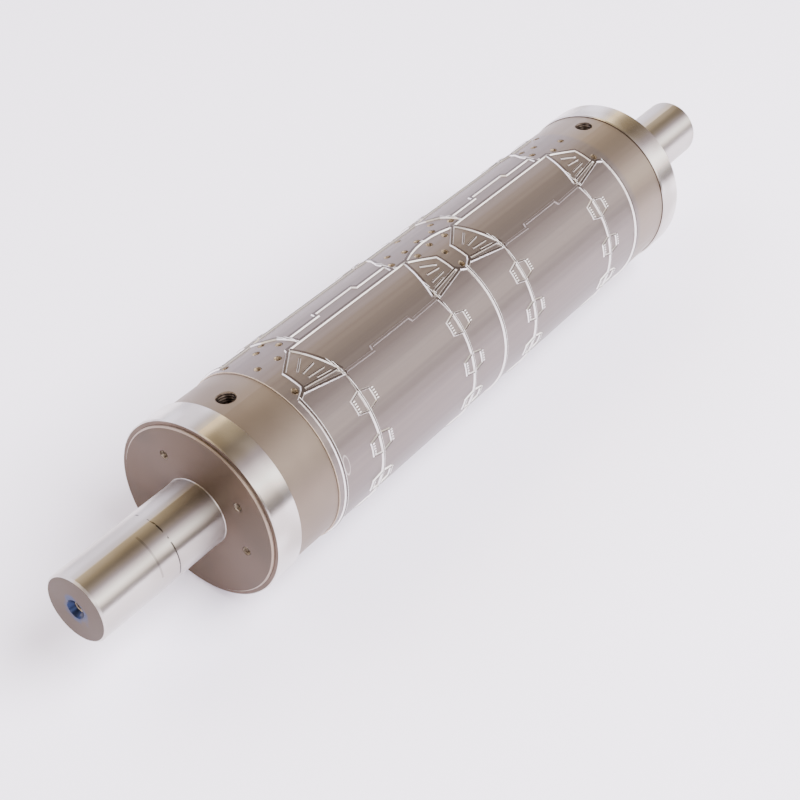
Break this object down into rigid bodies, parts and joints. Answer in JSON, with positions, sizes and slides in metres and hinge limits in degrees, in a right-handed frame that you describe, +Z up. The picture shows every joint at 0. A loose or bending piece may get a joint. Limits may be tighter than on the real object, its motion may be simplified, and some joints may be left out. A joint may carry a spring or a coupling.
{
  "type": "rotary die cylinder",
  "caption": "Rotary cutting die: long steel cylinder with raised cutting rules in a repeated carton pattern, shrunk bearer rings and a journal at each end.",
  "frame": {"origin": "on the cylinder's axis, half way between the two journal ends", "axes": "+X along the axis from the near journal to the far journal, +Z up, +Y across; angles round the cylinder run from +Y towards +Z"},
  "size_m": [0.742, 0.135, 0.135],
  "materials": {
    "die_steel": "satin machined tool steel",
    "bearer_steel": "ground and polished hardened steel"
  },
  "bodies": {
    "root": {"die_body": "die_steel", "near_bearer": "bearer_steel", "far_bearer": "bearer_steel"}
  },
  "joints": []
}
